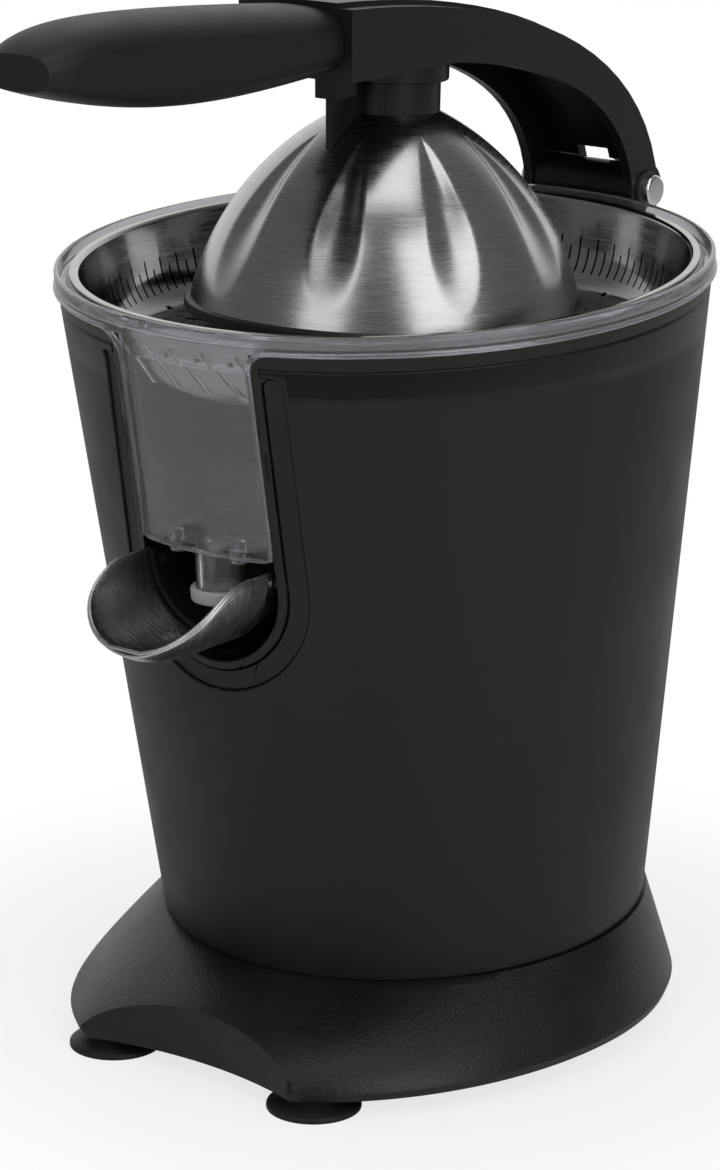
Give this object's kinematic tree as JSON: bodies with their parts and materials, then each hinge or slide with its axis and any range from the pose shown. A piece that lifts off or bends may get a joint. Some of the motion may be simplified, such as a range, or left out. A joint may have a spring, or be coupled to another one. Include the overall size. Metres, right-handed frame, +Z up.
{
  "type": "citrus press juicer",
  "caption": "Electric citrus press: black tapered body, clear rim, steel strainer and tipping spout, and a hinged lever arm with a steel dome.",
  "frame": {"origin": "on the counter under the crossing of the bucket's axis and the feet's plane", "axes": "+Z up, -Y towards the spout and the lever's grip, +X to the object's left-hand side seen from behind"},
  "size_m": [0.19, 0.264, 0.3075],
  "materials": {
    "shell_black": "matte, fine grain",
    "base_black": "grained satin",
    "inner_black": "plain moulded",
    "clear_plastic": "clear, faintly violet",
    "steel": "brushed, bright rolled edges",
    "zinc_steel": "plated, satin",
    "chrome": "polished",
    "arm_black": "satin black paint",
    "soft_black": "soft-touch, fine grain",
    "rubber_black": "matte",
    "seal_grey": "translucent, satin",
    "gear_nylon": "natural nylon",
    "sintered_bronze": "oil-filled, dull",
    "switch_blue": "plain moulded",
    "switch_red": "plain moulded"
  },
  "bodies": {
    "housing": {"base_skirt": "base_black", "base_plate": "inner_black", "base_screws": "zinc_steel", "suction_feet": "rubber_black", "cord_gland": "inner_black", "body_floor": "inner_black", "body_shell": "shell_black", "trim_ring": "shell_black", "spout_surround": "shell_black", "spout_bezel": "shell_black", "spout_bay": "shell_black", "spout_pins": "zinc_steel", "juice_collector": "clear_plastic", "nozzle_seal": "seal_grey", "strainer": "steel", "press_spring": "zinc_steel", "switch_body": "switch_blue", "gear_chassis": "inner_black", "gear_cover": "inner_black", "shaft_bush": "sintered_bronze", "cluster_axle": "zinc_steel", "motor_can": "zinc_steel", "motor_screws": "zinc_steel", "top_deck": "inner_black", "shaft_seal": "seal_grey", "hinge_bracket": "shell_black", "bracket_screws": "zinc_steel", "hinge_pin": "chrome", "pin_washers": "inner_black"},
    "arm": {"lever_arm": "arm_black", "grip_sleeve": "soft_black", "arm_collar": "inner_black", "collar_screws": "zinc_steel", "dome_brace": "arm_black", "dome_neck": "arm_black", "dome_nut": "zinc_steel", "press_dome": "steel", "dome_ring": "rubber_black", "button_spring": "zinc_steel"},
    "button": {"release_button": "chrome"},
    "spout": {"pouring_spout": "steel", "spout_carrier": "shell_black"},
    "sleeve": {"shaft_sleeve": "gear_nylon"},
    "reamer_train": {"reamer": "gear_nylon", "drive_shaft": "zinc_steel", "output_gear": "gear_nylon"},
    "plunger": {"switch_plunger": "switch_red"},
    "cluster": {"cluster_gear": "gear_nylon"},
    "rotor": {"motor_rotor": "zinc_steel", "motor_pinion": "sintered_bronze"}
  },
  "joints": [
    {"name": "arm_lift", "type": "hinge", "parent": "housing", "child": "arm", "pos_m": [0, 0.09198, 0.23213], "axis": [-1, 0, 0], "range_deg": [0, 78]},
    {"name": "button_press", "type": "slide", "parent": "arm", "child": "button", "axis": [0, 0, -1], "range_m": [0, 0.002], "stiffness_N_per_m": 400, "springref_m": -0.002, "deforming": ["button_spring"]},
    {"name": "spout_tilt", "type": "hinge", "parent": "housing", "child": "spout", "pos_m": [0, -0.08742, 0.14913], "axis": [-1, 0, 0], "range_deg": [0, 22]},
    {"name": "shaft_press", "type": "slide", "parent": "housing", "child": "sleeve", "axis": [0, -0.0523, 0.9986], "range_m": [-0.002, 0], "stiffness_N_per_m": 2000, "springref_m": 0.004, "deforming": ["press_spring"]},
    {"name": "motor_spin", "type": "hinge", "parent": "housing", "child": "rotor", "pos_m": [0.02598, 0.01776, 0.09105], "axis": [0, -0.0523, 0.9986], "continuous": true},
    {"name": "cluster_spin", "type": "hinge", "parent": "housing", "child": "cluster", "pos_m": [0, 0.03117, 0.1218], "axis": [0, -0.0523, 0.9986], "continuous": true},
    {"name": "reamer_spin", "type": "hinge", "parent": "sleeve", "child": "reamer_train", "pos_m": [0, 0, 0], "axis": [0, -0.0523, 0.9986], "continuous": true},
    {"name": "switch_press", "type": "slide", "parent": "housing", "child": "plunger", "axis": [0, -0.0523, 0.9986], "range_m": [-0.002, 0]}
  ],
  "couplings": [
    {"joint": "cluster_spin", "follows": "motor_spin", "ratio": -0.25},
    {"joint": "reamer_spin", "follows": "motor_spin", "ratio": 0.0625},
    {"joint": "switch_press", "follows": "shaft_press", "ratio": 1}
  ]
}
